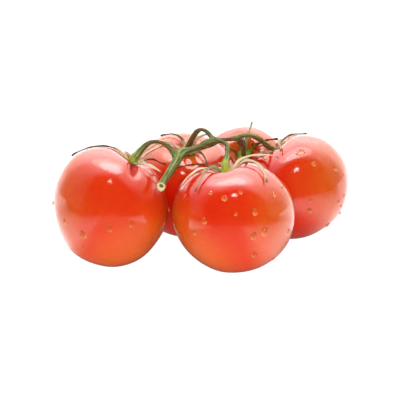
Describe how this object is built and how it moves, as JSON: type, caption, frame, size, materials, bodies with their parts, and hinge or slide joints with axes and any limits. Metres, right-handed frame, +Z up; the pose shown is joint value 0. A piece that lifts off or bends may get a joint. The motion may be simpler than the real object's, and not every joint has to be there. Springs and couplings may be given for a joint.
{
  "type": "truss of tomatoes",
  "caption": "Round ripe vine tomatoes still joined to one branched green stem, each under a star of narrow sepals, lying as picked.",
  "frame": {"origin": "middle of the truss's footprint, on the surface that the fruits rest on", "axes": "+Z up; the main stem runs from its cut end at the front (-Y) back over the fruits, and +X is the right of someone facing that end"},
  "size_m": [0.1764, 0.1784, 0.0741],
  "materials": {
    "tomato_skin": "smooth, waxy and glossy red skin",
    "calyx_green": "dry matt sepals, green at the root and brown at the tips",
    "stem_green": "matt, finely haired green stem"
  },
  "bodies": {
    "root": {"stem": "stem_green", "calyx_left": "calyx_green", "calyx_front": "calyx_green", "calyx_right": "calyx_green", "calyx_middle": "calyx_green", "calyx_back": "calyx_green", "tomato_left": "tomato_skin", "tomato_front": "tomato_skin", "tomato_right": "tomato_skin", "tomato_middle": "tomato_skin", "tomato_back": "tomato_skin"}
  },
  "joints": []
}
